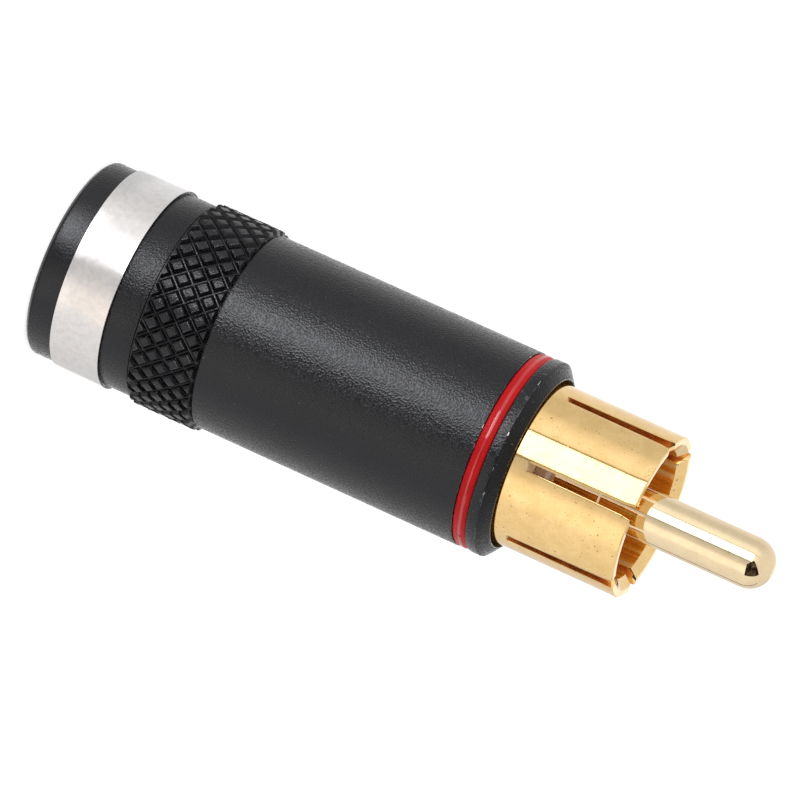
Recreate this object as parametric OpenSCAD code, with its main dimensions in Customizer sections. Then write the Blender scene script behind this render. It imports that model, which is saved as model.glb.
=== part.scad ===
// Phono cable plug, standing on its rear face with the pin pointing up.
// A turned black shell screws over a gold contact assembly. The shell has a bright-cut
// band, a diamond-knurled grip and a groove with a coloured ring. All sizes are in mm.

/* [Shell outside] */
// Plain diameter of cap, neck, barrel and lip; all that is inside keeps its walls within it
body_d = 12.6; // [12:0.1:15]
// Length of the rear cap, up to the bright band
cap_l = 1.85; // [1:0.05:4]
// Chamfer round the rear end
rear_chamfer = 0.25; // [0.1:0.05:0.6]
// Length of the bright-cut band
band_l = 3.3; // [1.5:0.1:6]
// How far the bright band stands above the plain diameter
band_rise = 0.2; // [0.1:0.05:0.5]
// Length of the neck between the band and the knurl
neck_l = 1.95; // [1:0.05:5]
// Length of the smooth barrel in front of the knurl
barrel_l = 17.7; // [16:0.1:26]
// Length of the front lip, from the ring groove to the front edge
lip_l = 1.3; // [1.1:0.05:2.5]
// Length of the cylindrical part of the lip, before its chamfer
lip_land_l = 0.7; // [0.4:0.05:0.9]
// Width of the flat rim left at the front edge
lip_rim = 0.08; // [0.05:0.01:0.15]

/* [Knurl] */
// Length of the knurled band
knurl_l = 4.3; // [2.5:0.1:8]
// Number of diamonds round the band
knurl_count = 32; // [24:1:44]
// Number of whole diamonds along the band
knurl_periods = 3; // [2:1:5]
// Height of the diamonds from groove floor to flat top
knurl_h = 0.27; // [0.15:0.01:0.4]
// Height of the groove floors above the plain diameter
knurl_root = 0.03; // [0.02:0.01:0.1]
// Share of each diamond that is left flat on top
knurl_flat = 0.48; // [0.4:0.02:0.8]
// Length of the run-out at the rear end of the knurl
knurl_rear_slope = 0.08; // [0.05:0.01:0.3]
// Length of the run-out at the front end of the knurl
knurl_front_slope = 0.06; // [0.05:0.01:0.4]

/* [Shell inside] */
// Diameter of the cable hole in the rear wall
cable_hole_d = 6.2; // [5:0.1:7]
// Chamfer at the mouth of the cable hole
cable_hole_chamfer = 0.4; // [0.2:0.05:0.8]
// Thickness of the rear wall round the cable hole
rear_wall = 3.0; // [2:0.1:4]
// Step from the thread bore down to the wiring space behind it
cavity_step = 0.3; // [0.2:0.05:0.6]
// Length of the threaded part of the contact assembly
thread_l = 7.4; // [5:0.1:9]
// Length of the run-out behind the thread in the shell
thread_runout = 0.4; // [0.2:0.1:1.5]
// Radial clearance modelled between the two threads
thread_gap = 0.1; // [0.05:0.01:0.2]
// Depth of the seat that the collar shoulder meets, from the front edge of the shell
seat_depth = 3.0; // [2.6:0.1:4]
// Radial gap between the collar and the front bore of the shell
front_gap = 0.25; // [0.15:0.01:0.3]
// Wall left between the ring groove and the front bore
groove_wall = 0.4; // [0.3:0.05:0.8]

/* [Colour ring] */
// Width of the groove for the colour ring
groove_w = 0.88; // [0.6:0.02:1.4]
// Depth of the groove for the colour ring
groove_depth = 0.45; // [0.35:0.01:0.5]
// How far the crown of the ring lies below the plain diameter
ring_recess = 0.02; // [0.01:0.01:0.15]
// Radius of the rounded crown of the ring
ring_crown_r = 1.2; // [0.8:0.05:2]
// Distance of the crown from the rear edge of the groove; in front of it the ring falls away
ring_crown_pos = 0.27; // [0.1:0.01:0.6]
// Clearance between the ring and its groove
ring_gap = 0.02; // [0.01:0.01:0.04]

/* [Ground collar] */
// Wall of the collar; it leaves the 8.4 bore that grips the outer contact of a jack
collar_wall = 1.0; // [0.85:0.05:1.2]
// Radial width of the shoulder between the collar and its thread
shoulder_w = 0.2; // [0.15:0.05:0.4]
// How far the collar stands out of the front of the shell
collar_reach = 8.0; // [6:0.1:10]
// Depth of the collar bore, from its front edge
collar_depth = 7.0; // [5.5:0.1:9]
// Number of slots that divide the collar into spring fingers
slot_count = 6; // [3:1:8]
// Width of the slots at their closed end
slot_root_w = 0.5; // [0.3:0.05:1]
// Width of the slots near the front edge, wider because the fingers spread a little
slot_tip_w = 0.66; // [0.4:0.02:1.2]
// Length of the slots; at 7.1 they just cut into the floor of the collar bore
slot_l = 7.1; // [4:0.1:8]
// Length over which the corners of the fingers are eased at the slot mouths
slot_mouth_l = 0.6; // [0.2:0.05:1]
// Width by which each of those corners is eased
slot_mouth_w = 0.12; // [0.05:0.01:0.25]
// Chamfer on the outer front edge of the collar
collar_edge = 0.08; // [0.04:0.02:0.3]
// Depth of the lead-in chamfer inside the collar mouth
lead_in_l = 0.5; // [0.2:0.05:1]
// Radial width of the lead-in chamfer inside the collar mouth
lead_in_w = 0.55; // [0.2:0.05:0.65]
// Width of the undercut between the thread and the collar shoulder
undercut_w = 0.6; // [0.4:0.05:1]
// Depth of that undercut below the thread bore
undercut_depth = 0.55; // [0.3:0.05:0.7]
// Chamfer at the rear start of the thread
thread_chamfer = 0.4; // [0.2:0.05:0.6]
// Length of the spigot that carries the cable clamp
spigot_l = 2.0; // [1.5:0.1:3]
// Wall of that spigot
spigot_wall = 0.45; // [0.3:0.05:0.6]

/* [Centre pin] */
// Diameter of the pin
pin_d = 3.2; // [3:0.05:3.4]
// How far the pin tip stands out of the collar
pin_reach = 8.1; // [6:0.1:10]
// How far the thicker root of the pin stands out beyond the shank behind it
pin_root_step = 0.4; // [0.3:0.05:0.6]
// Length of that root, from the face of the insulator
pin_root_l = 3.15; // [1:0.05:5]
// Length of the cone between the root and the pin
pin_root_cone_l = 0.2; // [0.1:0.05:0.8]
// How far the solder cup stands out beyond the shank in front of it
cup_step = 0.25; // [0.15:0.05:0.5]
// Wall of the solder cup
cup_wall = 0.55; // [0.4:0.05:0.8]
// Length of the solder cup
cup_l = 5.0; // [3:0.1:7]
// Depth of the solder cup
cup_depth = 3.8; // [2:0.1:4]
// Length of the window cut in the side of the solder cup
cup_window_l = 3.0; // [1:0.1:3.6]

/* [Insulator] */
// Wall of the insulator round the shank of the pin
insulator_wall = 1.55; // [1.2:0.05:1.8]
// How far the insulator stands out of the floor of the collar bore
insulator_proud = 0.75; // [0.3:0.05:2]
// Thickness of the flange that seats on the rear of the spigot
flange_t = 0.7; // [0.3:0.05:1.5]
// How far that flange stands out beyond the insulator
flange_w = 0.4; // [0.2:0.05:0.45]
// Radial clearance of the insulator on the collar and on the pin
insulator_gap = 0.05; // [0.02:0.01:0.08]

/* [Cable clamp] */
// Thickness of the rolled clamp sheet
clamp_t = 0.5; // [0.3:0.05:0.6]
// Free space between the clamp and the sleeve round it
clamp_room = 0.28; // [0.1:0.02:0.4]
// Radial clearance between the clamp and the spigot
clamp_gap = 0.02; // [0.01:0.01:0.05]
// Length of the closed ring that sits on the spigot
clamp_ring_l = 1.9; // [1.2:0.1:2.8]
// Length of the strip between the ring and the claws
clamp_strip_l = 9.3; // [6:0.1:10]
// Half angle of the strip, seen along the plug
clamp_strip_angle = 42; // [25:1:60]
// Length of the cable claws
claw_l = 3.0; // [1.5:0.1:3.2]
// Half angle that the open claws reach round the cable
claw_angle = 135; // [100:1:150]
// Diameter of the solder hole in the strip
solder_hole_d = 1.5; // [0.8:0.1:2]
// Distance of the solder hole from the closed ring
solder_hole_pos = 2.6; // [1.5:0.1:4]

/* [Insulating sleeve] */
// Wall of the sleeve that lines the wiring space
sleeve_t = 0.35; // [0.2:0.05:0.4]
// Distance between the front end of the sleeve and the spigot
sleeve_end_gap = 0.9; // [0.3:0.1:3]
// Clearance between the sleeve and the shell
sleeve_gap = 0.05; // [0.02:0.01:0.1]

/* [Hidden] */
$fn = 96;
// Length by which a cut runs past the face it opens
over = 1;
// Depth to which the knurled ring is sunk into the shell
knurl_sink = 0.2;
// Direction of the slot that faces the front
slot_phase = -90;

// Radii from the outside of the shell inwards to the shank of the pin
body_r = body_d / 2;
band_r = body_r + band_rise;
groove_r = body_r - groove_depth;
front_bore_r = groove_r - groove_wall;
collar_r = front_bore_r - front_gap;
collar_bore_r = collar_r - collar_wall;
thread_bore_r = collar_r - shoulder_w;
thread_r = thread_bore_r - thread_gap;
undercut_r = thread_bore_r - undercut_depth;
cavity_r = thread_bore_r - cavity_step;
sleeve_r = cavity_r - sleeve_gap;
clamp_r = sleeve_r - sleeve_t - clamp_room - clamp_t;
spigot_r = clamp_r - clamp_gap;
insulator_r = spigot_r - spigot_wall - insulator_gap;
pin_shank_r = insulator_r - insulator_wall - insulator_gap;
pin_root_r = pin_shank_r + pin_root_step;
cup_r = pin_shank_r + cup_step;

// Heights of the shell's steps above the rear face
band_z = cap_l;
neck_z = band_z + band_l;
knurl_z = neck_z + neck_l;
barrel_z = knurl_z + knurl_l;
groove_z = barrel_z + barrel_l;
lip_z = groove_z + groove_w;
shell_top_z = lip_z + lip_l;
seat_z = shell_top_z - seat_depth;
thread_z = seat_z - undercut_w - thread_l;
thread_bore_z = thread_z - thread_runout;

// Knurl lattice: rows of diamonds, each half a diamond above the last
knurl_rows = 2 * knurl_periods;
knurl_step = 360 / knurl_count;
knurl_floor_r = body_r + knurl_root;
knurl_top_r = knurl_floor_r + knurl_h;
knurl_seat_r = body_r - knurl_sink;
knurl_first_z = knurl_z + knurl_rear_slope;
knurl_last_z = barrel_z - knurl_front_slope;
knurl_row_h = (knurl_last_z - knurl_first_z) / knurl_rows;

// Contact assembly
collar_top_z = shell_top_z + collar_reach;
collar_floor_z = collar_top_z - collar_depth;
slot_z = collar_top_z - slot_l;
spigot_z = thread_z - spigot_l;
insulator_face_z = collar_floor_z + insulator_proud;
insulator_rear_z = spigot_z - flange_t;
pin_r = pin_d / 2;
pin_tip_z = collar_top_z + pin_reach;
pin_dome_z = pin_tip_z - pin_r;
pin_step_z = insulator_face_z + pin_root_l;
cup_top_z = insulator_rear_z - insulator_gap;
cup_z = cup_top_z - cup_l;
clamp_ring_z = spigot_z;
strip_z = clamp_ring_z - clamp_strip_l;
claw_z = strip_z - claw_l;

// Point at radius r, angle a and height z
function polar(r, a, z) = [r * cos(a), r * sin(a), z];

// Angle of diamond i in row j, and of the groove crossing to its right
function diamond_a(j, i) = (i + (j % 2) / 2) * knurl_step;
function crossing_a(j, i) = diamond_a(j, i) + knurl_step / 2;
function row_z(j) = knurl_first_z + j * knurl_row_h;

// Index of the crossing straight above or below diamond i of row j
function above_or_below(j, i) = (j % 2 == 0) ? i - 1 : i;

// Two triangles for the four-sided facet a, b, c, d
function facet(a, b, c, d) = [[a, b, c], [a, c, d]];

// Closed ring of flat-topped diamonds; its inner wall and run-outs are sunk in the shell
module knurl_ring() {
    n = knurl_count;
    m = knurl_rows;
    half_a = knurl_flat * knurl_step / 2;
    half_z = knurl_flat * knurl_row_h;
    crossings = [for (j = [0:m], i = [0:n - 1])
        polar(knurl_floor_r, crossing_a(j, i), row_z(j))];
    tops = [for (j = [0:m], i = [0:n - 1], corner = [0:3])
        polar(knurl_top_r,
              diamond_a(j, i) + [-half_a, half_a, 0, 0][corner],
              row_z(j) + [0, 0, j == m ? 0 : half_z, j == 0 ? 0 : -half_z][corner])];
    end_angles = [for (i = [0:n - 1], a = [-half_a, half_a, knurl_step / 2]) i * knurl_step + a];
    rear_end = [for (a = end_angles) polar(knurl_seat_r, a, knurl_z - knurl_rear_slope)];
    front_end = [for (a = end_angles) polar(knurl_seat_r, a, barrel_z + knurl_front_slope)];

    function crossing(j, i) = j * n + (i + n) % n;
    function top(j, i, corner) = (m + 1) * n + 4 * (j * n + i) + corner;
    function rear(k) = 5 * (m + 1) * n + k % (3 * n);
    function front(k) = rear(k) + 3 * n;
    function edge(j, k) = let (i = floor(k / 3) % n, corner = k % 3)
        corner == 2 ? crossing(j, i) : top(j, i, corner);

    flats = [for (j = [0:m], i = [0:n - 1]) each concat(
        j < m ? [[top(j, i, 0), top(j, i, 2), top(j, i, 1)]] : [],
        j > 0 ? [[top(j, i, 0), top(j, i, 1), top(j, i, 3)]] : [])];
    upper_sides = [for (j = [0:m - 1], i = [0:n - 1]) let (up = crossing(j + 1, above_or_below(j, i)))
        each concat(
            facet(crossing(j, i - 1), up, top(j, i, 2), top(j, i, 0)),
            facet(up, crossing(j, i), top(j, i, 1), top(j, i, 2)))];
    lower_sides = [for (j = [1:m], i = [0:n - 1]) let (down = crossing(j - 1, above_or_below(j, i)))
        each concat(
            facet(crossing(j, i), down, top(j, i, 3), top(j, i, 1)),
            facet(down, crossing(j, i - 1), top(j, i, 0), top(j, i, 3)))];
    ends_and_wall = [for (k = [0:3 * n - 1]) each concat(
        facet(edge(0, k), edge(0, k + 1), rear(k + 1), rear(k)),
        facet(front(k), front(k + 1), edge(m, k + 1), edge(m, k)),
        facet(rear(k), rear(k + 1), front(k + 1), front(k)))];

    polyhedron(concat(crossings, tops, rear_end, front_end),
               concat(flats, upper_sides, lower_sides, ends_and_wall));
}

// Half section of the turned shell: chamfered cap, band, neck and barrel, ring groove, lip
module shell_section() {
    polygon([
        [0, 0],
        [body_r - rear_chamfer, 0],
        [body_r, rear_chamfer],
        [body_r, band_z],
        [band_r, band_z],
        [band_r, neck_z],
        [body_r, neck_z],
        [body_r, groove_z],
        [groove_r, groove_z],
        [groove_r, lip_z],
        [body_r, lip_z],
        [body_r, lip_z + lip_land_l],
        [front_bore_r + lip_rim, shell_top_z],
        [0, shell_top_z],
    ]);
}

// Cable hole, wiring space, thread bore and front bore, from rear to front
module shell_bores() {
    cable_r = cable_hole_d / 2;
    translate([0, 0, -over])
        cylinder(r = cable_r, h = rear_wall + 2 * over);
    translate([0, 0, -over])
        cylinder(r1 = cable_r + cable_hole_chamfer + over, r2 = cable_r,
                 h = cable_hole_chamfer + over);
    translate([0, 0, rear_wall])
        cylinder(r = cavity_r, h = thread_bore_z - rear_wall + over);
    translate([0, 0, thread_bore_z])
        cylinder(r = thread_bore_r, h = seat_z - thread_bore_z + over);
    translate([0, 0, seat_z])
        cylinder(r = front_bore_r, h = seat_depth + over);
}

// Black anodised aluminium shell, turned and knurled in one piece
module shell() {
    color("#1d1d20") union() {
        difference() {
            rotate_extrude() shell_section();
            shell_bores();
        }
        rotate(knurl_step / 2) knurl_ring();
    }
}

// Red ring that marks the channel, snapped into the groove behind the lip
module colour_ring() {
    crown_r = body_r - ring_recess;
    inner_r = groove_r + ring_gap;
    width = groove_w - 2 * ring_gap;
    color("#b3121d") rotate_extrude() intersection() {
        translate([inner_r, groove_z + ring_gap]) square([crown_r - inner_r, width]);
        translate([crown_r - ring_crown_r, groove_z + ring_crown_pos]) circle(r = ring_crown_r);
    }
}

// Thin plastic tube that keeps the solder joint off the shell
module insulating_sleeve() {
    length = spigot_z - sleeve_end_gap - rear_wall;
    color("#d8d8d2") translate([0, 0, rear_wall]) difference() {
        cylinder(r = sleeve_r, h = length);
        translate([0, 0, -over]) cylinder(r = sleeve_r - sleeve_t, h = length + 2 * over);
    }
}

// Half section of the collar: spigot, thread, undercut, shoulder, bore and chamfered mouth
module collar_section() {
    hole_r = insulator_r + insulator_gap;
    polygon([
        [hole_r, spigot_z],
        [spigot_r, spigot_z],
        [spigot_r, thread_z],
        [thread_r - thread_chamfer, thread_z],
        [thread_r, thread_z + thread_chamfer],
        [thread_r, seat_z - undercut_w],
        [undercut_r, seat_z - undercut_w],
        [undercut_r, seat_z],
        [collar_r, seat_z],
        [collar_r, collar_top_z - collar_edge],
        [collar_r - collar_edge, collar_top_z],
        [collar_bore_r + lead_in_w, collar_top_z],
        [collar_bore_r, collar_top_z - lead_in_l],
        [collar_bore_r, collar_floor_z],
        [hole_r, collar_floor_z],
    ]);
}

// One slot of the collar, cut outwards along +X, with its mouth eased at the front edge
module collar_slot() {
    root = slot_root_w / 2;
    tip = slot_tip_w / 2;
    mouth_z = slot_l - slot_mouth_l;
    translate([0, 0, slot_z]) rotate([90, 0, 90]) linear_extrude(collar_r + over)
        polygon([
            [-root, 0],
            [root, 0],
            [tip, mouth_z],
            [tip + slot_mouth_w, slot_l],
            [tip + slot_mouth_w, slot_l + over],
            [-tip - slot_mouth_w, slot_l + over],
            [-tip - slot_mouth_w, slot_l],
            [-tip, mouth_z],
        ]);
}

// Gold-plated brass body: slotted spring collar in front, thread and spigot behind
module ground_collar() {
    color("#d9ae5c") difference() {
        rotate_extrude() collar_section();
        for (k = [0:slot_count - 1])
            rotate(slot_phase + k * 360 / slot_count) collar_slot();
    }
}

// Gold-plated pin with a domed tip, a thicker root and a solder cup at the rear
module centre_pin() {
    color("#e3c58a") difference() {
        union() {
            rotate_extrude() polygon([
                [0, cup_z],
                [cup_r, cup_z],
                [cup_r, cup_top_z],
                [pin_shank_r, cup_top_z],
                [pin_shank_r, insulator_face_z],
                [pin_root_r, insulator_face_z],
                [pin_root_r, pin_step_z - pin_root_cone_l],
                [pin_r, pin_step_z],
                [pin_r, pin_dome_z],
                [0, pin_dome_z],
            ]);
            rotate_extrude() intersection() {
                translate([0, pin_dome_z]) circle(r = pin_r);
                translate([0, pin_dome_z]) square(pin_d);
            }
        }
        translate([0, 0, cup_z - over]) cylinder(r = cup_r - cup_wall, h = cup_depth + over);
        translate([0, -over - cup_r, cup_z - over])
            cube([cup_r + over, 2 * (cup_r + over), cup_window_l + over]);
    }
}

// White insulator: a bush through the collar body, flanged at the rear and proud in the bore
module pin_insulator() {
    hole_r = pin_shank_r + insulator_gap;
    color("#f2f0ea") rotate_extrude() polygon([
        [hole_r, insulator_rear_z],
        [insulator_r + flange_w, insulator_rear_z],
        [insulator_r + flange_w, spigot_z],
        [insulator_r, spigot_z],
        [insulator_r, insulator_face_z],
        [hole_r, insulator_face_z],
    ]);
}

// Closed ring of the clamp, which sits on the spigot
module clamp_ring() {
    difference() {
        cylinder(r = clamp_r + clamp_t, h = clamp_ring_l);
        translate([0, 0, -over]) cylinder(r = clamp_r, h = clamp_ring_l + 2 * over);
    }
}

// Part of the rolled clamp wall that reaches half_angle to each side of -X
module clamp_wall(half_angle, length) {
    reach = 4 * clamp_r;
    open_angle = 180 - half_angle;
    linear_extrude(length) difference() {
        circle(r = clamp_r + clamp_t);
        circle(r = clamp_r);
        polygon([
            [0, 0],
            [reach * cos(open_angle), -reach * sin(open_angle)],
            [reach, -reach],
            [reach, reach],
            [reach * cos(open_angle), reach * sin(open_angle)],
        ]);
    }
}

// Gold-plated clamp: a ring on the spigot, a soldering strip and claws for the cable
module cable_clamp() {
    color("#d9ae5c") difference() {
        union() {
            translate([0, 0, clamp_ring_z]) clamp_ring();
            translate([0, 0, strip_z]) clamp_wall(clamp_strip_angle, clamp_strip_l);
            translate([0, 0, claw_z]) clamp_wall(claw_angle, claw_l);
        }
        translate([0, 0, clamp_ring_z - solder_hole_pos]) rotate([0, -90, 0])
            cylinder(d = solder_hole_d, h = 2 * clamp_r);
    }
}

shell();
colour_ring();
insulating_sleeve();
ground_collar();
centre_pin();
pin_insulator();
cable_clamp();
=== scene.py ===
import math

import bmesh
import bpy
from mathutils import Matrix, Vector, noise


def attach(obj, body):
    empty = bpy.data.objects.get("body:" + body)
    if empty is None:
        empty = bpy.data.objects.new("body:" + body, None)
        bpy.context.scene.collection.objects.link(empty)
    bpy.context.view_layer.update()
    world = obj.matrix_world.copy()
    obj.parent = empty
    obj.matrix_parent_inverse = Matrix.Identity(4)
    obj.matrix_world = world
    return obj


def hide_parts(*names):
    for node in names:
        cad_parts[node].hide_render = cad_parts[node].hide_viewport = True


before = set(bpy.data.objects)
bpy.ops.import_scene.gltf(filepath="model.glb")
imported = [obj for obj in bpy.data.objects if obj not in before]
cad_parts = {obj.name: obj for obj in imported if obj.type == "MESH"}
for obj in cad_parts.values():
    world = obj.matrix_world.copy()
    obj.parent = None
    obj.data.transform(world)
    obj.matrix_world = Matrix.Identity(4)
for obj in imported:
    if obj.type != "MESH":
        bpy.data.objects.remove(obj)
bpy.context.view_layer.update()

bpy.context.scene.view_settings.view_transform = "Standard"

# Camera: the plug stands on its rear face here, so the slanting view of the photograph is a
# long lens turned on its side, a little above the table. Angles are in degrees, lengths in mm.
MM = 0.001
AIM = Vector((-0.22, -0.35, 22.29)) * MM
CAMERA_TURN, CAMERA_RISE, CAMERA_ROLL = -3.0, 14.454, 114.33
CAMERA_DISTANCE = 538.99
camera_data = bpy.data.cameras.new("camera")
camera_data.sensor_width = 36.0
camera_data.lens = 405.0
camera_data.clip_start = 0.01
camera_data.clip_end = 100.0
camera = bpy.data.objects.new("camera", camera_data)
camera.matrix_world = (
    Matrix.Translation(AIM)
    @ Matrix.Rotation(math.radians(CAMERA_TURN), 4, "Z")
    @ Matrix.Rotation(math.radians(90.0 - CAMERA_RISE), 4, "X")
    @ Matrix.Rotation(math.radians(CAMERA_ROLL), 4, "Z")
    @ Matrix.Translation((0.0, 0.0, CAMERA_DISTANCE * MM))
)
bpy.context.scene.collection.objects.link(camera)
bpy.context.scene.camera = camera

# Table: a plain white sheet under the plug. It shows as white to the camera and in the metal,
# and keeps a soft shadow where the plug stands.
TABLE_HALF_WIDTH = 3.0
TABLE_GAP = 0.02
SHARP_ANGLE = math.radians(32.0)


def grey(level):
    """A plain grey; 1 is white."""
    return (level, level, level, 1.0)


def add_node(tree, kind, sockets=None, **settings):
    """Adds a shader node; a socket is given a value or the output that feeds it."""
    made = tree.nodes.new("ShaderNode" + kind)
    for name, value in settings.items():
        setattr(made, name, value)
    for socket, value in (sockets or {}).items():
        if isinstance(value, bpy.types.NodeSocket):
            tree.links.new(value, made.inputs[socket])
        else:
            made.inputs[socket].default_value = value
    return made


def calc(tree, operation, first, second):
    """The result of a math operation on two values."""
    return add_node(tree, "Math", {0: first, 1: second}, operation=operation).outputs[0]


def seen_directly(tree):
    """1 for camera, mirror and glass rays, 0 for the rays that carry light."""
    path = add_node(tree, "LightPath").outputs
    mirror = calc(tree, "MAXIMUM", path["Is Camera Ray"], path["Is Glossy Ray"])
    return calc(tree, "MAXIMUM", mirror, path["Is Transmission Ray"])


def new_material(name):
    """An empty node material and its tree."""
    material = bpy.data.materials.new(name)
    material.use_nodes = True
    material.node_tree.nodes.clear()
    return material, material.node_tree


def new_object(name, bm, *materials):
    """Turns a bmesh into an object at the origin, smooth except at its sharp edges."""
    mesh = bpy.data.meshes.new(name)
    for face in bm.faces:
        face.smooth = True
    bm.to_mesh(mesh)
    bm.free()
    mesh.set_sharp_from_angle(angle=SHARP_ANGLE)
    for material in materials:
        mesh.materials.append(material)
    made = bpy.data.objects.new(name, mesh)
    bpy.context.scene.collection.objects.link(made)
    even = made.modifiers.new("even_normals", "WEIGHTED_NORMAL")
    even.weight = 100
    even.keep_sharp = True
    return made


table_white, tree = new_material("table_white")
paper = add_node(tree, "BsdfDiffuse", {"Color": grey(0.78)})
seen_paper = add_node(tree, "BsdfDiffuse", {"Color": grey(0.38)})
glow = add_node(tree, "Emission", {"Color": grey(1.0), "Strength": 0.8})
seen_sheet = add_node(tree, "AddShader", {0: seen_paper.outputs[0], 1: glow.outputs[0]})
sheet = add_node(tree, "MixShader", {0: seen_directly(tree), 1: paper.outputs[0], 2: seen_sheet.outputs[0]})
add_node(tree, "OutputMaterial", {"Surface": sheet.outputs[0]})
bm = bmesh.new()
bmesh.ops.create_grid(bm, x_segments=1, y_segments=1, size=TABLE_HALF_WIDTH)
bmesh.ops.translate(bm, verts=bm.verts[:], vec=(0.0, 0.0, -TABLE_GAP * MM))
table = new_object("table", bm, table_white)

# Studio light: an even white room, a large soft lamp over the shoulder and one from behind.
# A strip of lit paper on the table gives the bright line along the turned metal.
world = bpy.data.worlds.new("room")
bpy.context.scene.world = world
world.use_nodes = True
tree = world.node_tree
tree.nodes.clear()
room = add_node(tree, "Background", {"Color": grey(1.0), "Strength": 0.7})
white = add_node(tree, "Background", {"Color": grey(1.0), "Strength": 1.0})
both = add_node(tree, "MixShader", {0: seen_directly(tree), 1: room.outputs[0], 2: white.outputs[0]})
add_node(tree, "OutputWorld", {"Surface": both.outputs[0]})


def soft_lamp(name, place, size, brightness):
    """A square lamp at a place in mm, aimed at the plug; brightness 1 is white."""
    lamp_data = bpy.data.lights.new(name, "AREA")
    lamp_data.shape = "SQUARE"
    lamp_data.size = size * MM
    lamp_data.energy = brightness * math.pi * lamp_data.size ** 2
    lamp = bpy.data.objects.new(name, lamp_data)
    place = Vector(place) * MM
    aimed = (AIM - place).to_track_quat("-Z", "Y")
    lamp.matrix_world = Matrix.Translation(place) @ aimed.to_matrix().to_4x4()
    lamp.visible_camera = False
    lamp.visible_glossy = False
    bpy.context.scene.collection.objects.link(lamp)


soft_lamp("key_lamp", (-260.0, -260.0, 330.0), 260.0, 3.2)
soft_lamp("back_lamp", (220.0, 320.0, 260.0), 260.0, 2.0)


def mirror_card(name, bm, colour, strength):
    """A card that only polished surfaces see; it lights nothing and throws no shadow."""
    finish, tree = new_material(name)
    tone = colour(tree) if callable(colour) else colour
    light = add_node(tree, "Emission", {"Color": tone, "Strength": strength})
    add_node(tree, "OutputMaterial", {"Surface": light.outputs[0]})
    card = new_object(name, bm, finish)
    card.visible_camera = False
    card.visible_diffuse = False
    card.visible_shadow = False


# Tones round the plug, as degrees from the camera, brightness and warmth: a lit strip between two
# dark edges and softer light beside it. The strip is a soft box that ends above the pin.
STRIP_BRIGHTNESS = 6.3
FAR_STRIP_BRIGHTNESS, HIGH_BRIGHTNESS, SKY_BRIGHTNESS = 3.4, 1.35, 1.0
SURROUND_TONES = (
    (-180.0, 1.3, 0.0), (-174.0, 1.3, 0.0), (-170.0, 0.80, 0.0), (-144.0, 0.88, 0.0), (-64.0, 1.12, 0.0),
    (-50.0, 1.38, 0.03), (-32.0, 1.33, 0.04), (-20.0, 0.90, 0.02), (-8.0, 0.76, 0.0), (1.2, 0.66, 0.0),
    (1.7, 0.15, 0.0), (4.4, 0.15, 0.0), (5.0, STRIP_BRIGHTNESS, 0.0), (38.5, STRIP_BRIGHTNESS, 0.0),
    (39.1, 0.22, 0.0), (41.4, 0.22, 0.0), (42.0, 1.26, 0.0), (52.0, 1.33, 0.0), (66.0, 1.12, 0.0),
    (78.0, 0.86, 0.0), (100.0, 0.80, 0.0), (126.0, 0.98, 0.0), (170.0, 1.06, 0.0), (174.0, 1.3, 0.0),
    (180.0, 1.3, 0.0),
)
# The band mirrors the sheet close by, where the strip is faint and soft.
BAND_TONES = (
    (-180.0, 1.3, 0.0), (-174.0, 1.3, 0.0), (-170.0, 0.80, 0.0), (-144.0, 0.88, 0.0), (-64.0, 1.10, 0.0),
    (-50.0, 1.20, 0.06), (-34.0, 1.16, 0.06), (-20.0, 0.92, 0.03), (-8.0, 0.78, 0.0), (0.0, 0.78, 0.0),
    (8.0, 1.36, 0.0), (24.0, 1.62, 0.0), (40.0, 1.42, 0.0), (48.0, 1.27, 0.0), (64.0, 1.18, 0.0),
    (80.0, 0.97, 0.0), (100.0, 0.92, 0.0), (126.0, 1.02, 0.0), (170.0, 1.06, 0.0), (180.0, 1.3, 0.0),
)
# The cap mirrors the sheet right at its foot, where the strip is blurred.
FOOT_TONES = (
    (-180.0, 1.3, 0.0), (-170.0, 0.8, 0.0), (-64.0, 1.12, 0.0), (-50.0, 1.38, 0.03), (-32.0, 1.33, 0.04),
    (-16.0, 0.82, 0.0), (-2.0, 0.70, 0.0), (6.0, 1.7, 0.0), (18.0, 5.6, 0.0), (32.0, 6.2, 0.0),
    (41.0, 4.4, 0.0), (51.0, 2.2, 0.0), (60.0, 1.25, 0.0), (66.0, 1.12, 0.0), (100.0, 0.8, 0.0),
    (170.0, 0.88, 0.0), (180.0, 1.3, 0.0),
)
# Where one set of tones gives way to the next, as distances from the plug's foot, and the heights
# at which the soft box and the paper behind it end.
FOOT_END, BAND_END, STRIP_END = (12.8 * MM, 14.2 * MM), (23.5 * MM, 25.0 * MM), (115.0 * MM, 130.0 * MM)
BOX_EDGE, BOX_TOP, SKY_TOP = 168.0, 172.0, 420.0
CAMERA_AZIMUTH = 90.0 - CAMERA_TURN
MIRROR_R = 3.15
JAGS = 0.07
CARD_R = 400.0
CARD_STEPS = 96


def object_place(tree):
    """Coordinates of the piece itself."""
    return add_node(tree, "TexCoord").outputs["Object"]


def noise_at(tree, place, scale, detail, roughness=0.5):
    """Cloudy noise; a scale of 1000 has features of about 1 mm."""
    return add_node(tree, "TexNoise", {"Vector": place, "Scale": scale, "Detail": detail,
                                       "Roughness": roughness}).outputs["Fac"]


def remap(tree, value, start, end, before=0.0, after=1.0):
    """Goes evenly from one level to another as a value goes from start to end."""
    return add_node(tree, "MapRange", {"Value": value, "From Min": start, "From Max": end,
                                       "To Min": before, "To Max": after}).outputs[0]


def mix_colours(tree, share, first, second, blend="MIX"):
    """The first colour, with a share of the second blended in."""
    return add_node(tree, "Mix", {0: share, 6: first, 7: second}, data_type="RGBA",
                    blend_type=blend).outputs[2]


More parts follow.
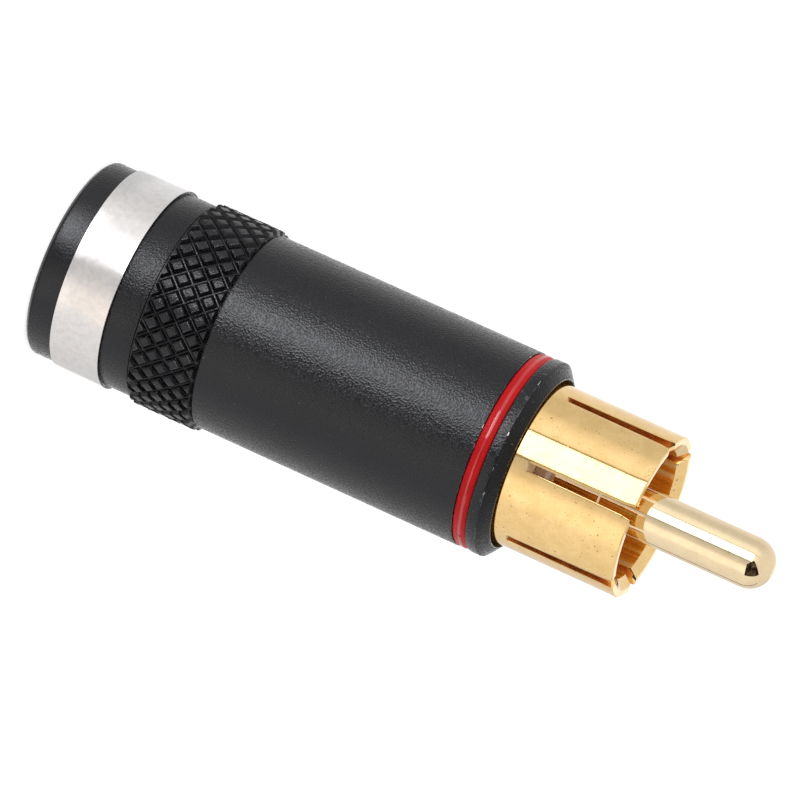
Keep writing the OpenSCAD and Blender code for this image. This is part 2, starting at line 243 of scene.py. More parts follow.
def two_tones(tree, share, dark, light, start=0.0, end=1.0):
    """Ramp from one colour to another, each given as red, green and blue."""
    ramp = add_node(tree, "ValToRGB", {"Fac": share})
    for stop, position, colour in zip(ramp.color_ramp.elements, (start, end), (dark, light)):
        stop.position = position
        stop.color = (*colour, 1.0)
    return ramp.outputs["Color"]


def tone_ramp(tree, share, tones):
    """Colours of a full turn from tones of (degrees, brightness, warmth)."""
    ramp = add_node(tree, "ValToRGB", {"Fac": share})
    stops = ramp.color_ramp.elements
    while len(stops) < len(tones):
        stops.new(0.5)
    for stop, (degrees, _, _) in zip(stops, tones):
        stop.position = (degrees + 180.0) / 360.0
    for stop, (_, tone, warmth) in zip(stops, tones):
        level = tone / STRIP_BRIGHTNESS
        stop.color = (level * (1.0 + warmth), level, level * (1.0 - warmth), 1.0)
    return ramp.outputs["Color"]


def surround_tones(tree):
    """Ramp of the tones by the angle that a cylinder mirrors, with slightly jagged edges."""
    place = object_place(tree)
    facing = add_node(tree, "Mapping", {"Vector": place, "Rotation": (0.0, 0.0, math.radians(CAMERA_AZIMUTH))})
    axes = add_node(tree, "SeparateXYZ", {0: facing.outputs[0]}).outputs
    angle = calc(tree, "ARCTAN2", axes["Y"], axes["X"])
    reach = add_node(tree, "VectorMath", {0: place}, operation="LENGTH").outputs["Value"]
    spread = calc(tree, "SUBTRACT", 1.0, calc(tree, "DIVIDE", MIRROR_R * MM, reach))
    mirror_angle = calc(tree, "DIVIDE", angle, spread)
    drift = remap(tree, noise_at(tree, place, 1300.0, 3.0, 0.6), 0.0, 1.0, -JAGS, JAGS)
    share = remap(tree, calc(tree, "SUBTRACT", drift, mirror_angle), -math.pi, math.pi)
    near_band = remap(tree, reach, *BAND_END, 1.0, 0.0)
    sheet = mix_colours(tree, near_band, tone_ramp(tree, share, SURROUND_TONES),
                        tone_ramp(tree, share, BAND_TONES))
    at_foot = remap(tree, reach, *FOOT_END, 1.0, 0.0)
    tones = mix_colours(tree, at_foot, sheet, tone_ramp(tree, share, FOOT_TONES))
    far = remap(tree, reach, *STRIP_END, 1.0, FAR_STRIP_BRIGHTNESS / STRIP_BRIGHTNESS)
    high = remap(tree, axes["Z"], BOX_EDGE * MM, BOX_TOP * MM, 1.0, HIGH_BRIGHTNESS / STRIP_BRIGHTNESS)
    limited = mix_colours(tree, 1.0, tones, calc(tree, "MINIMUM", far, high), "DARKEN")
    sky = remap(tree, axes["Z"], BOX_TOP * MM, SKY_TOP * MM)
    return mix_colours(tree, sky, limited, grey(SKY_BRIGHTNESS / STRIP_BRIGHTNESS))


def swept_card(name, corners, start, sweep, colour, strength):
    """A mirror card swept round the plug from corners of (radius, height) in mm; angles in degrees."""
    bm = bmesh.new()
    line = [bm.verts.new((radius * MM, 0.0, height * MM)) for radius, height in corners]
    sides = [bm.edges.new(pair) for pair in zip(line, line[1:])]
    bmesh.ops.rotate(bm, verts=line, cent=(0.0, 0.0, 0.0), matrix=Matrix.Rotation(math.radians(start), 3, "Z"))
    bmesh.ops.spin(bm, geom=line + sides, cent=(0.0, 0.0, 0.0), axis=(0.0, 0.0, 1.0),
                   angle=math.radians(sweep), steps=CARD_STEPS, use_merge=sweep == 360.0)
    mirror_card(name, bm, colour, strength)


swept_card("surround_card", [(6.6, 0.2), (CARD_R, 0.2), (CARD_R, BOX_EDGE), (CARD_R, BOX_TOP), (CARD_R, SKY_TOP)],
           0.0, 360.0, surround_tones, STRIP_BRIGHTNESS)
swept_card("rim_light_card", [(5.0, 0.01), (6.5, 0.01)], 0.0, 360.0, grey(1.0), 1.2)
# A dark card that only the metal mirrors: a painted reflection of a shadow, seen as a thin dark line.
swept_card("mirrored_shadow_card", [(152.0, 0.3), (399.0, 0.3), (399.0, 300.0)], 33.0, 4.0, grey(0.1), 1.0)

# The dark shape beside the camera, which the rounded tip of the pin mirrors. Its corners are given
# as degrees from the camera's direction and degrees up, seen from the tip.
TIP_MIDDLE = Vector((0.0, 0.0, 45.8 * MM))
CAMERA_CARD_CORNERS = ((14.0, 3.0), (65.0, 6.0), (76.0, 59.0), (-14.0, 26.0))
CAMERA_CARD_DISTANCE = 0.35


def camera_tones(tree):
    """Nearly black, with a few paler places."""
    cloud = noise_at(tree, object_place(tree), 13.0, 2.0)
    return two_tones(tree, cloud, (0.012, 0.009, 0.006), (0.22, 0.18, 0.14), 0.42, 0.72)


bm = bmesh.new()
corners = []
for turn, rise in CAMERA_CARD_CORNERS:
    azimuth = math.radians(turn - CAMERA_AZIMUTH)
    away = Vector((math.cos(azimuth), math.sin(azimuth), 0.0))
    away = away * math.cos(math.radians(rise)) + Vector((0.0, 0.0, math.sin(math.radians(rise))))
    corners.append(bm.verts.new(TIP_MIDDLE + CAMERA_CARD_DISTANCE * away))
bm.faces.new(corners)
mirror_card("camera_card", bm, camera_tones, 1.0)

# Shell: one turned aluminium tube, knurled for the fingers, blasted and dyed black. One raised
# band near the cable end is skimmed back to bare metal after the dyeing.
TURN_STEPS = 192
MERGE_DISTANCE = 1e-8
SAME_PLACE = 1e-7


def ring_edges(bm, radius, height):
    """The edges of the circle that a corner of the outline leaves when it is turned."""
    def on_ring(vert):
        return (abs(vert.co.xy.length - radius * MM) < SAME_PLACE
                and abs(vert.co.z - height * MM) < SAME_PLACE)
    return [edge for edge in bm.edges if all(on_ring(vert) for vert in edge.verts)]


def round_off(bm, edges, rounding, rounds):
    """Rounds edges by a width in mm and returns the new faces."""
    return bmesh.ops.bevel(bm, geom=edges, offset=rounding * MM, offset_type="OFFSET", segments=rounds,
                           profile=0.5, affect="EDGES", material=-1, clamp_overlap=True)["faces"]


def turned(outline, steps=TURN_STEPS):
    """A solid turned from a closed outline of (radius, height, rounding, rounding steps) in mm."""
    bm = bmesh.new()
    corners = [bm.verts.new((point[0] * MM, 0.0, point[1] * MM)) for point in outline]
    sides = [bm.edges.new((a, b)) for a, b in zip(corners, corners[1:] + corners[:1])
             if a.co.x + b.co.x > 0.0]
    bmesh.ops.spin(bm, geom=corners + sides, cent=(0.0, 0.0, 0.0), axis=(0.0, 0.0, 1.0),
                   angle=2.0 * math.pi, steps=steps, use_merge=True)
    bmesh.ops.remove_doubles(bm, verts=bm.verts[:], dist=MERGE_DISTANCE)
    bmesh.ops.recalc_face_normals(bm, faces=bm.faces[:])
    for radius, height, rounding, rounds in [point for point in outline if len(point) == 4]:
        round_off(bm, ring_edges(bm, radius, height), rounding, rounds)
    return bm


def join(bm, other):
    """Adds the faces of another bmesh."""
    mesh = bpy.data.meshes.new("joined")
    other.to_mesh(mesh)
    other.free()
    bm.from_mesh(mesh)
    bpy.data.meshes.remove(mesh)


LIP_EDGE_Z = 30.68
shell_bm = turned([
    (3.50, 0.0, 0.05, 2),
    (6.05, 0.0, 0.06, 2),
    (6.30, 0.25, 0.08, 3),
    (6.30, 1.85),
    (6.50, 1.85, 0.05, 3),
    (6.50, 5.15, 0.04, 3),
    (6.30, 5.15),
    (6.30, 7.06, 0.03, 2),
    (6.24, 7.09),
    (6.24, 11.41),
    (6.16, 11.43),
    (6.16, 11.47),
    (6.30, 11.50, 0.03, 3),
    (6.30, 29.10, 0.03, 3),
    (5.85, 29.10),
    (5.85, 29.98),
    (6.30, 29.98, 0.15, 4),
    (6.30, LIP_EDGE_Z, 0.03, 3),
    (5.53, 31.28, 0.03, 2),
    (5.45, 31.28),
    (5.45, 28.28),
    (5.00, 28.28, 0.08, 2),
    (5.00, 19.88),
    (4.70, 19.88),
    (4.70, 3.00),
    (3.10, 3.00),
    (3.10, 0.40),
])

# It is black, with bare metal on the band, a duller black as painted shade in grooves and on bevels, a shinier
# black as a painted glint on the rim, and a brown front bore that paints in the collar's gold light reflected
# there. Each finish has a smallest radius and the heights that it lies between, in mm.
BARE, PAINTED_SHADE, PAINTED_GLINT, BORE_REFLECTION = range(1, 5)
SHELL_FINISHES = ((BARE, 6.45, 1.86, 5.14), (PAINTED_SHADE, 5.5, 30.72, 31.25), (PAINTED_SHADE, 6.2, 0.2, 0.33),
                  (PAINTED_GLINT, 5.46, 31.25, 31.3))
FRONT_BORE_R, FRONT_BORE_Z = 5.46, 28.3
# The edges behind the ring and at the lip are worn in places, here and there to bare metal, and in other spots
# given the shinier black as painted glints.
WEAR_AND_GLINT_EDGES, WEAR_AND_GLINT_REACH, WEAR_AND_GLINT_R = (29.08, LIP_EDGE_Z), 0.04, 6.2
BARE_SPOTS, BARE_SHARE = 4100.0, 0.52
GLINT_SPOTS, GLINT_SHARE = 1700.0, 0.12
for face in shell_bm.faces:
    middle = face.calc_center_median()
    radius = middle.xy.length
    for finish, inner_r, low, high in SHELL_FINISHES:
        if radius > inner_r * MM and low * MM < middle.z < high * MM:
            face.material_index = finish
    # Bare spots are wear; spots of the shinier black are painted glints.
    if radius > WEAR_AND_GLINT_R * MM and min(abs(middle.z - edge_z * MM) for edge_z in WEAR_AND_GLINT_EDGES) < WEAR_AND_GLINT_REACH * MM:
        if noise.noise(middle * BARE_SPOTS) > BARE_SHARE:
            face.material_index = BARE
        elif noise.noise(middle * GLINT_SPOTS) > GLINT_SHARE:
            face.material_index = PAINTED_GLINT
    # The front bore takes a brown that paints the collar's gold light reflected into it.
    if radius < FRONT_BORE_R * MM and middle.z > FRONT_BORE_Z * MM:
        face.material_index = BORE_REFLECTION

# The knurl is cut by two crossing sets of grooves, which leave rows of flat-topped diamonds. The floors of one
# set of grooves and the upper bevels take the shinier black as painted glints, in short dashes; the walls and
# lower bevels take the duller black as painted shade.
KNURL_COUNT = 32
KNURL_ROWS = 6
KNURL_FIRST, KNURL_LAST = 7.18, 11.36
KNURL_START, KNURL_MIDDLE, KNURL_END = 7.25, 9.0, 11.29
KNURL_REAR_SLOPE, KNURL_FRONT_SLOPE = 0.1, 0.12
KNURL_PHASE = math.radians(1.2)
KNURL_FLOOR_R, KNURL_SEAT_R, KNURL_WALL_R = 6.33, 6.22, 6.4
# Half the floor of a groove and then its wall, as width and rise.
KNURL_STEPS = ((0.04, 0.0), (0.165, 0.25))
KNURL_ROUNDING = 0.03
KNURL_UNEVEN, UNEVEN_SPOTS = 0.003, 1900.0
DASH_SPOTS, DASH_SHARE = 1500.0, 0.1
KNURL_MERGE, KNURL_TRIM = 0.002, 0.001
knurl_step = 2.0 * math.pi / KNURL_COUNT
row_height = (KNURL_LAST - KNURL_FIRST) / KNURL_ROWS
knurl_bm = bmesh.new()
for row in range(-1, KNURL_ROWS + 2):
    middle_angle = KNURL_PHASE + 0.5 * knurl_step * ((row + 1) % 2)
    middle_z = KNURL_FIRST + row * row_height
    corners = []
    for across, along in ((-0.5, 0.0), (0.0, -1.0), (0.5, 0.0), (0.0, 1.0)):
        angle = middle_angle + across * knurl_step
        corners.append(knurl_bm.verts.new((KNURL_FLOOR_R * MM * math.cos(angle),
                                           KNURL_FLOOR_R * MM * math.sin(angle),
                                           (middle_z + along * row_height) * MM)))
    diamond = knurl_bm.faces.new(corners)
    diamond.normal_update()
    centre = diamond.calc_center_median()
    # Floors on one side are painted glints; walls are painted shade.
    for border, rise in KNURL_STEPS:
        sides = bmesh.ops.inset_individual(knurl_bm, faces=[diamond], thickness=border * MM, depth=rise * MM,
                                           use_even_offset=True)["faces"]
        for face in sides:
            away = face.calc_center_median() - centre
            face.material_index = PAINTED_GLINT if rise == 0.0 and away.y < 0.0 < away.z else PAINTED_SHADE
    # Upper bevels are painted glints, lower bevels painted shade.
    for face in round_off(knurl_bm, diamond.edges[:], KNURL_ROUNDING, 2):
        face.material_index = PAINTED_GLINT if face.calc_center_median().z > centre.z else PAINTED_SHADE
bmesh.ops.spin(knurl_bm, geom=knurl_bm.verts[:] + knurl_bm.edges[:] + knurl_bm.faces[:], cent=(0.0, 0.0, 0.0),
               axis=(0.0, 0.0, 1.0), angle=2.0 * math.pi - knurl_step, steps=KNURL_COUNT - 1,
               use_duplicate=True)
bmesh.ops.remove_doubles(knurl_bm, verts=knurl_bm.verts[:], dist=KNURL_MERGE * MM)
for end_z, outer in ((KNURL_START, False), (KNURL_END, True)):
    bmesh.ops.bisect_plane(knurl_bm, geom=knurl_bm.verts[:] + knurl_bm.edges[:] + knurl_bm.faces[:],
                           dist=KNURL_TRIM * MM, plane_co=(0.0, 0.0, end_z * MM), plane_no=(0.0, 0.0, 1.0),
                           clear_outer=outer, clear_inner=not outer)
for vert in knurl_bm.verts:
    if vert.co.xy.length > KNURL_WALL_R * MM:
        vert.co.xy *= 1.0 + KNURL_UNEVEN * noise.noise(vert.co * UNEVEN_SPOTS)
for face in knurl_bm.faces:
    if face.material_index == PAINTED_GLINT and noise.noise(face.calc_center_median() * DASH_SPOTS) < DASH_SHARE:
        face.material_index = PAINTED_SHADE
ends = [edge for edge in knurl_bm.edges if edge.is_boundary]
slopes = bmesh.ops.extrude_edge_only(knurl_bm, edges=ends)["geom"]
for vert in [item for item in slopes if isinstance(item, bmesh.types.BMVert)]:
    vert.co.xy = vert.co.xy.normalized() * KNURL_SEAT_R * MM
    vert.co.z += -KNURL_REAR_SLOPE * MM if vert.co.z < KNURL_MIDDLE * MM else KNURL_FRONT_SLOPE * MM
bmesh.ops.bridge_loops(knurl_bm, edges=[edge for edge in knurl_bm.edges if edge.is_boundary])
bmesh.ops.recalc_face_normals(knurl_bm, faces=knurl_bm.faces[:])
join(shell_bm, knurl_bm)


def bumps(tree, height, strength, depth):
    """Relief from a height; its depth is in mm."""
    return add_node(tree, "Bump", {"Height": height, "Strength": strength,
                                   "Distance": depth * MM}).outputs[0]


def add_skin(tree, sockets):
    """Ends a material with a surface of these properties."""
    skin = add_node(tree, "BsdfPrincipled", sockets)
    add_node(tree, "OutputMaterial", {"Surface": skin.outputs[0]})


# Fine shot-blasted black: an even grain that sparkles where the light glances off it, with a few
# specks of dust, more of them on the worn lip.
LIP_DUST_START = (29.9 * MM, 30.1 * MM)
BODY_DUST, LIP_DUST = 0.79, 0.72


def black_finish(name, shine, roughness, grain_size):
    """Black anodising: its shine, its roughness, and the depth of its grain in mm."""
    finish, tree = new_material(name)
    place = object_place(tree)
    cloud = noise_at(tree, place, 420.0, 4.0, 0.6)
    tone = two_tones(tree, cloud, (0.001, 0.001, 0.0014), (0.003, 0.003, 0.0042), 0.35, 0.7)
    height = add_node(tree, "SeparateXYZ", {0: place}).outputs["Z"]
    clean = remap(tree, height, *LIP_DUST_START, BODY_DUST, LIP_DUST)
    speck = calc(tree, "GREATER_THAN", noise_at(tree, place, 4600.0, 1.0), clean)
    grain = noise_at(tree, place, 9000.0, 0.0)
    add_skin(tree, {"Base Color": mix_colours(tree, speck, tone, (0.07, 0.07, 0.073, 1.0)),
                    "Roughness": remap(tree, grain, 0.42, 0.58, roughness * 1.5, roughness * 0.4),
                    "Specular IOR Level": shine, "Specular Tint": (0.94, 0.95, 1.0, 1.0),
                    "Normal": bumps(tree, grain, 1.0, grain_size)})
    return finish


blasted_black = black_finish("blasted_black", 0.40, 0.26, 0.026)
# The duller copy paints shade in grooves and on bevels.
painted_shade_black = black_finish("painted_shade_black", 0.24, 0.3, 0.02)
# The shinier copy paints glints on rims and edges.
painted_glint_black = black_finish("painted_glint_black", 1.0, 0.32, 0.04)

# The bore behind the lip is a dull brown, a painted reflection of the gold collar's light in the gap.
painted_reflection_brown, tree = new_material("painted_reflection_brown")
cloud = noise_at(tree, object_place(tree), 700.0, 3.0)
tone = two_tones(tree, cloud, (0.13, 0.098, 0.045), (0.20, 0.15, 0.075))
add_skin(tree, {"Base Color": tone, "Roughness": 0.5})


def stretched_noise(tree, place, across, along, detail):
    """Noise drawn out into lines: its scales across the plug and along it."""
    lines = add_node(tree, "Mapping", {"Vector": place, "Scale": (across, across, along)})
    return noise_at(tree, lines.outputs[0], 1.0, detail)


# Skimmed aluminium: fine turning lines round the band, with a warmer cast in patches.
skimmed_band, tree = new_material("skimmed_band")
place = object_place(tree)
patch = noise_at(tree, place, 190.0, 2.0)
cast = two_tones(tree, patch, (0.68, 0.665, 0.66), (0.72, 0.685, 0.665), 0.4, 0.68)
mottle = noise_at(tree, place, 2600.0, 5.0, 0.7)
shade = two_tones(tree, mottle, (0.88, 0.88, 0.89), (1.0, 1.0, 1.0), 0.3, 0.6)
lines = stretched_noise(tree, place, 500.0, 9000.0, 3.0)
add_skin(tree, {"Base Color": mix_colours(tree, 1.0, cast, shade, "MULTIPLY"), "Metallic": 1.0,
                "Roughness": 0.18, "Normal": bumps(tree, lines, 0.12, 0.01)})

shell = new_object("turned_shell", shell_bm, blasted_black, skimmed_band, painted_shade_black, painted_glint_black, painted_reflection_brown)
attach(shell, "shell")
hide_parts("shell")

# Colour ring: a moulded plastic ring, red for one channel, snapped into the groove behind the
# shell's lip. Its narrow ridge is rubbed glossy between two duller slopes.
RING_BORE_R, RING_START, RING_END = 5.87, 29.12, 29.96
RIDGE_R, RIDGE_TOP_R, RIDGE_Z = 0.3, 6.28, 29.55
RIDGE_STEPS = 8
REAR_SLOPE, FRONT_SLOPE = math.radians(-9.0), math.radians(26.0)
ridge = []
for step in range(RIDGE_STEPS + 1):
    lean = REAR_SLOPE + (FRONT_SLOPE - REAR_SLOPE) * step / RIDGE_STEPS
    ridge.append((RIDGE_TOP_R - RIDGE_R * (1.0 - math.cos(lean)), RIDGE_Z + RIDGE_R * math.sin(lean)))
(ridge_rear_r, ridge_rear_z), (ridge_front_r, ridge_front_z) = ridge[0], ridge[-1]
rear_r = ridge_rear_r + (ridge_rear_z - RING_START) * math.tan(REAR_SLOPE)
front_r = ridge_front_r - (RING_END - ridge_front_z) * math.tan(FRONT_SLOPE)
ring_bm = turned([
    (RING_BORE_R, RING_START),
    (rear_r, RING_START, 0.03, 3),
    *ridge,
    (front_r, RING_END, 0.03, 3),
    (RING_BORE_R, RING_END),
])
for face in ring_bm.faces:
    on_ridge = ridge_rear_z * MM < face.calc_center_median().z < ridge_front_z * MM
    face.material_index = 1 if on_ridge else 0


def ring_finish(name, shine, roughness):
    """Dyed plastic with a faint ripple from the mould."""
    finish, tree = new_material(name)
    place = object_place(tree)
    cloud = noise_at(tree, place, 700.0, 3.0)
    ripple = noise_at(tree, place, 2600.0, 2.0)
    add_skin(tree, {"Base Color": two_tones(tree, cloud, (0.50, 0.0015, 0.004), (0.62, 0.003, 0.007), 0.3, 0.75),
                    "Roughness": roughness, "Specular IOR Level": shine,
                    "Normal": bumps(tree, ripple, 0.06, 0.02)})
    return finish


ring_red = ring_finish("ring_red", 0.16, 0.4)
ring_gloss = ring_finish("ring_gloss", 0.8, 0.12)
ring = new_object("red_ring", ring_bm, ring_red, ring_gloss)
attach(ring, "shell")
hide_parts("colour_ring")

# Insulating sleeve: a thin milky plastic tube pushed into the shell, so that the soldered wires
# can't touch the metal.
sleeve_bm = turned([
    (4.30, 3.00),
    (4.65, 3.00, 0.05, 2),
    (4.65, 17.38, 0.05, 2),
    (4.30, 17.38),
])
milky_tube, tree = new_material("milky_tube")
cloud = noise_at(tree, object_place(tree), 500.0, 3.0)
tone = two_tones(tree, cloud, (0.66, 0.66, 0.61), (0.80, 0.80, 0.76))
add_skin(tree, {"Base Color": tone, "Roughness": 0.42, "Transmission Weight": 0.3})
sleeve = new_object("milky_sleeve", sleeve_bm, milky_tube)
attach(sleeve, "shell")
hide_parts("insulating_sleeve")

# Pin insulator: a turned white plastic bush through the collar, flanged behind it. It keeps the
# pin in the middle and clear of the ground contact.
bush_bm = turned([
    (1.45, 17.58),
    (3.40, 17.58, 0.06, 2),
    (3.40, 18.28),
    (3.00, 18.28),
    (3.00, 33.03, 0.08, 3),
    (1.45, 33.03),
])
turned_white, tree = new_material("turned_white")
lines = stretched_noise(tree, object_place(tree), 400.0, 6000.0, 2.0)
tone = two_tones(tree, lines, (0.86, 0.85, 0.81), (0.94, 0.93, 0.90))
add_skin(tree, {"Base Color": tone, "Roughness": 0.45, "Normal": bumps(tree, lines, 0.2, 0.01)})
bush = new_object("insulator_bush", bush_bm, turned_white)
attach(bush, "insulator")
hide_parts("pin_insulator")

# Centre pin: a turned brass pin with a domed tip, plated a paler gold than the collar. Its root
# is thicker, and the far end is a half-open cup for the soldered wire.
CUP_WINDOW_Z = 15.53
pin_bm = turned([
    (0.0, 47.38),
    (1.60, 47.38, 1.57, 14),
    (1.60, 36.26, 0.02, 2),
    (1.80, 36.18, 0.02, 2),
    (1.80, 33.03),
    (1.40, 33.03),
    (1.40, 17.53),
    (1.65, 17.53, 0.08, 2),
    (1.65, CUP_WINDOW_Z),
    (1.65, 12.53),
    (1.10, 12.53),
    (1.10, CUP_WINDOW_Z),
    (1.10, 16.33),
    (0.0, 16.33),
])
window = [face for face in pin_bm.faces if face.calc_center_median().x > 0.0
          and face.calc_center_median().z < CUP_WINDOW_Z * MM - SAME_PLACE]
bmesh.ops.delete(pin_bm, geom=window, context="FACES")
cut = [edge for edge in pin_bm.edges if edge.is_boundary]
walls = [edge for edge in cut if abs(edge.verts[0].co.xy.length - edge.verts[1].co.xy.length) < 0.01 * MM]
bmesh.ops.bridge_loops(pin_bm, edges=walls)
bmesh.ops.recalc_face_normals(pin_bm, faces=pin_bm.faces[:])


def plated(name, light, dark, roughness, flecks):
    """Polished plating: faint turning lines, cloudy tone, small pits and dark flecks."""
    plate, tree = new_material(name)
    place = object_place(tree)
    cloud = noise_at(tree, place, 900.0, 6.0, 0.75)
    tone = two_tones(tree, cloud, dark, light, 0.4, 0.6)
    fleck = remap(tree, noise_at(tree, place, 8000.0, 1.0), 0.70, 0.76, 0.0, flecks)
    pit = remap(tree, noise_at(tree, place, 3400.0, 1.0), 0.72, 0.78, 0.0, flecks)
    stain = calc(tree, "MAXIMUM", fleck, pit)
    lines = stretched_noise(tree, place, 260.0, 7000.0, 3.0)
    height = calc(tree, "SUBTRACT", calc(tree, "MULTIPLY", lines, 0.10), pit)
    add_skin(tree, {"Base Color": mix_colours(tree, stain, tone, (0.16, 0.09, 0.03, 1.0)), "Metallic": 1.0,
                    "Roughness": remap(tree, cloud, 0.3, 0.7, roughness * 0.7, roughness * 1.3),
                    "Normal": bumps(tree, height, 0.5, 0.01)})
    return plate


pale_gold = plated("pale_gold", (0.83, 0.665, 0.425), (0.77, 0.605, 0.385), 0.05, 0.12)
pin = new_object("domed_pin", pin_bm, pale_gold)
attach(pin, "contacts")
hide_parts("centre_pin")

# Ground collar: a turned brass body, slotted into six spring fingers that grip the jack, and
# gold plated. Behind its shoulder it is threaded to screw into the shell.
COLLAR_R, COLLAR_BORE_R, COLLAR_INNER_R = 5.20, 4.20, 3.05
COLLAR_BACK, SHOULDER_Z, BORE_END = 18.28, 28.28, 32.28
CORE_R = 4.45
FINGER_END, FINGER_END_R, FINGER_END_BORE_R = 39.28, 5.13, 4.75
SLOT_COUNT = 6
SLOT_PHASE = math.radians(-90.0)
SLOT_START, SLOT_LENGTH = 32.18, 7.03
BORE_SLOT_START, BORE_SLOT_LENGTH = 32.50, 6.28
# Share of the slot's length and half the slot's width there; the blind end is nearly square, and
# the mouth is flared.
SLOT_ROWS = ((0.0, 0.0), (0.0003, 0.238), (0.003, 0.25), (0.03, 0.252), (0.25, 0.27), (0.5, 0.29),
             (0.75, 0.31), (0.92, 0.328), (1.0, 0.42))
MOUTH_HALF_WIDTH = 0.45
SAME_ANGLE, SAME_ROW = 1e-4, 5e-7
outer_rows = [(COLLAR_R, SLOT_START + part * SLOT_LENGTH) for part, _ in SLOT_ROWS]
inner_rows = [(COLLAR_BORE_R, BORE_SLOT_START + part * BORE_SLOT_LENGTH) for part, _ in SLOT_ROWS]
collar_bm = turned([
    (COLLAR_INNER_R, COLLAR_BACK),
    (3.50, COLLAR_BACK),
    (3.50, 20.28),
    (4.40, 20.28),
    (CORE_R, 20.33),
    (CORE_R, SHOULDER_Z),
    (COLLAR_R, SHOULDER_Z),
    *outer_rows,
    (FINGER_END_R, FINGER_END),
    (FINGER_END_BORE_R, FINGER_END),
    *inner_rows[::-1],
    (COLLAR_BORE_R, BORE_END),
    (COLLAR_INNER_R, BORE_END),
])
half_widths = [(FINGER_END_BORE_R, FINGER_END, MOUTH_HALF_WIDTH), (FINGER_END_R, FINGER_END, MOUTH_HALF_WIDTH)]
for (_, half), outer, inner in zip(SLOT_ROWS, outer_rows, inner_rows):
    half_widths += [(*outer, half), (*inner, half)]


def slot_half_width(vert):
    """Half the slot's width at a point of the turned collar in mm, or None behind the slots."""
    for radius, height, half in half_widths:
        if abs(vert.co.z - height * MM) < SAME_ROW and abs(vert.co.xy.length - radius * MM) < SAME_ROW:
            return half
    return None


def off_slot(point):
    """Angle from the nearest slot's middle."""
    pitch = 2.0 * math.pi / SLOT_COUNT
    return (math.atan2(point.y, point.x) - SLOT_PHASE + 0.5 * pitch) % pitch - 0.5 * pitch


# Each slot is split open along its middle line, spread to its width, and walled on both sides.
slot_lines = [edge for edge in collar_bm.edges
              if all(slot_half_width(vert) is not None and abs(off_slot(vert.co)) < SAME_ANGLE
                     for vert in edge.verts)]
bmesh.ops.split_edges(collar_bm, edges=slot_lines)
half_pitch = math.pi / SLOT_COUNT
turns = {}
for vert in collar_bm.verts:
    half = slot_half_width(vert)
    if half:
        swing = off_slot(vert.co)
        side = swing
        if abs(swing) < SAME_ANGLE:
            side = sum(off_slot(face.calc_center_median()) for face in vert.link_faces)
        opening = math.asin(half * MM / vert.co.xy.length)
        turns[vert] = math.copysign(opening * (1.0 - abs(swing) / half_pitch), side)
for vert, turn in turns.items():
    vert.co = Matrix.Rotation(turn, 3, "Z") @ vert.co
for slot in range(SLOT_COUNT):
    for side in (-1.0, 1.0):
        walls = []
        for edge in [edge for edge in collar_bm.edges if edge.is_boundary]:
            middle = (edge.verts[0].co + edge.verts[1].co) / 2.0
            at_slot = round((math.atan2(middle.y, middle.x) - SLOT_PHASE) / (2.0 * half_pitch)) % SLOT_COUNT
            across_tip = min(vert.co.z for vert in edge.verts) > (FINGER_END - 0.01) * MM
            if at_slot == slot and off_slot(middle) * side > SAME_ANGLE and not across_tip:
                walls.append(edge)
        bmesh.ops.bridge_loops(collar_bm, edges=walls)
bmesh.ops.recalc_face_normals(collar_bm, faces=collar_bm.faces[:])

# It is polished outside and at the finger tips. Inside, and on the rounded slot edges, it is amber, painted light
# for the gold's reflections;
# the blind ends of the slots are pale, lightened as painted light, and the slots' walls are dark amber, as
# painted shade.
PAINTED_REFLECTION, SAWN_AND_LIT, SLOT_WALL = range(1, 4)
FINGER_START, FINGER_EDGE_ANGLE, FINGER_ROUNDING = 32.3, math.radians(30.0), 0.025
WALL_INNER_R, WALL_OUTER_R = 4.3, 5.1
ROOT_START, ROOT_END, TIP_START = 32.1, 32.4, 38.8
finger_edges = [edge for edge in collar_bm.edges
                if edge.is_manifold and edge.calc_face_angle() > FINGER_EDGE_ANGLE
                and min(vert.co.z for vert in edge.verts) > FINGER_START * MM]
for face in round_off(collar_bm, finger_edges, FINGER_ROUNDING, 2):
    # The rounded slot edges take the amber of painted reflections.
    if face.calc_center_median().z < TIP_START * MM:
        face.material_index = PAINTED_REFLECTION
for face in collar_bm.faces:
    middle = face.calc_center_median()
    radius = middle.xy.length
    radial = Vector((middle.x, middle.y, 0.0)).normalized()
    in_wall = WALL_INNER_R * MM < radius < WALL_OUTER_R * MM
    # Inside faces take the amber of painted reflections; the slots' walls take the dark of painted shade.
    if ROOT_END * MM < middle.z < TIP_START * MM and radius < WALL_OUTER_R * MM:
        face.material_index = SLOT_WALL if in_wall and abs(face.normal.dot(radial)) < 0.5 else PAINTED_REFLECTION
    # The blind ends take the pale saw finish, lightened as painted light.
    elif in_wall and ROOT_START * MM < middle.z < ROOT_END * MM:
        face.material_index = SAWN_AND_LIT

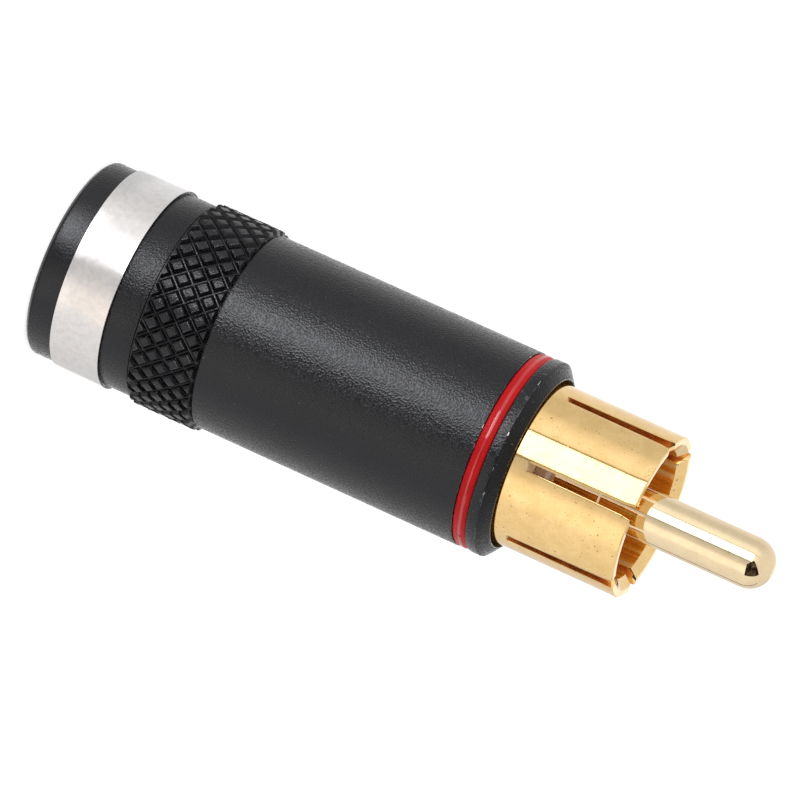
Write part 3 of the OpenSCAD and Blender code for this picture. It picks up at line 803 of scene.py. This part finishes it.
# The screw thread is one ridge that winds round the core behind the shoulder.
THREAD_PITCH = 0.75
THREAD_TURNS = 8.8
THREAD_STEPS = 640
THREAD_CORNERS = ((4.43, 20.34), (4.90, 20.62), (4.90, 20.72), (4.43, 21.0))
thread_bm = bmesh.new()
thread_end = thread_bm.faces.new([thread_bm.verts.new((radius * MM, 0.0, height * MM))
                                  for radius, height in THREAD_CORNERS])
bmesh.ops.spin(thread_bm, geom=[thread_end], cent=(0.0, 0.0, 0.0), axis=(0.0, 0.0, 1.0),
               dvec=(0.0, 0.0, THREAD_PITCH * THREAD_TURNS / THREAD_STEPS * MM),
               angle=2.0 * math.pi * THREAD_TURNS, steps=THREAD_STEPS)
bmesh.ops.recalc_face_normals(thread_bm, faces=thread_bm.faces[:])
join(collar_bm, thread_bm)

gold_plate = plated("gold_plate", (0.86, 0.60, 0.275), (0.78, 0.53, 0.225), 0.06, 0.6)

# Inside the fingers the plating is duller, and its deep amber with bright streaks is painted light: the gold's
# light reflected back and forth in the bore, and painted reflections.
painted_reflection_gold, tree = new_material("painted_reflection_gold")
streaks = stretched_noise(tree, object_place(tree), 2000.0, 70.0, 3.0)
tone = two_tones(tree, streaks, (0.74, 0.27, 0.015), (1.0, 0.84, 0.42), 0.40, 0.62)
tone.node.color_ramp.elements.new(0.53).color = (1.0, 0.52, 0.07, 1.0)
add_skin(tree, {"Base Color": tone, "Metallic": 0.6, "Roughness": 0.25})

# The saw leaves the blind ends of the slots pale and matt, and their colour is lightened further as painted light
# where they lie in shade.
sawn_and_lit_gold, tree = new_material("sawn_and_lit_gold")
marks = noise_at(tree, object_place(tree), 6000.0, 2.0)
tone = two_tones(tree, marks, (0.94, 0.74, 0.40), (1.0, 0.90, 0.58))
add_skin(tree, {"Base Color": tone, "Metallic": 0.2, "Roughness": 0.5})

# The slots' walls are the darkest, a dark amber that paints the shade in the slots and the gold's light reflected
# into them.
painted_shade_slot_gold, tree = new_material("painted_shade_slot_gold")
marks = noise_at(tree, object_place(tree), 900.0, 3.0)
tone = two_tones(tree, marks, (0.46, 0.13, 0.014), (0.85, 0.36, 0.06), 0.40, 0.68)
add_skin(tree, {"Base Color": tone, "Metallic": 0.7, "Roughness": 0.3})

collar = new_object("slotted_collar", collar_bm, gold_plate, painted_reflection_gold, sawn_and_lit_gold, painted_shade_slot_gold)
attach(collar, "contacts")
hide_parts("ground_collar")

# Cable clamp: a rolled brass strip on the collar's rear spigot, gold plated, with claws that
# close on the cable. Its CAD shape is right, so it only gets its finish.
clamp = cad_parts["cable_clamp"]
clamp.data.materials.clear()
clamp.data.materials.append(gold_plate)
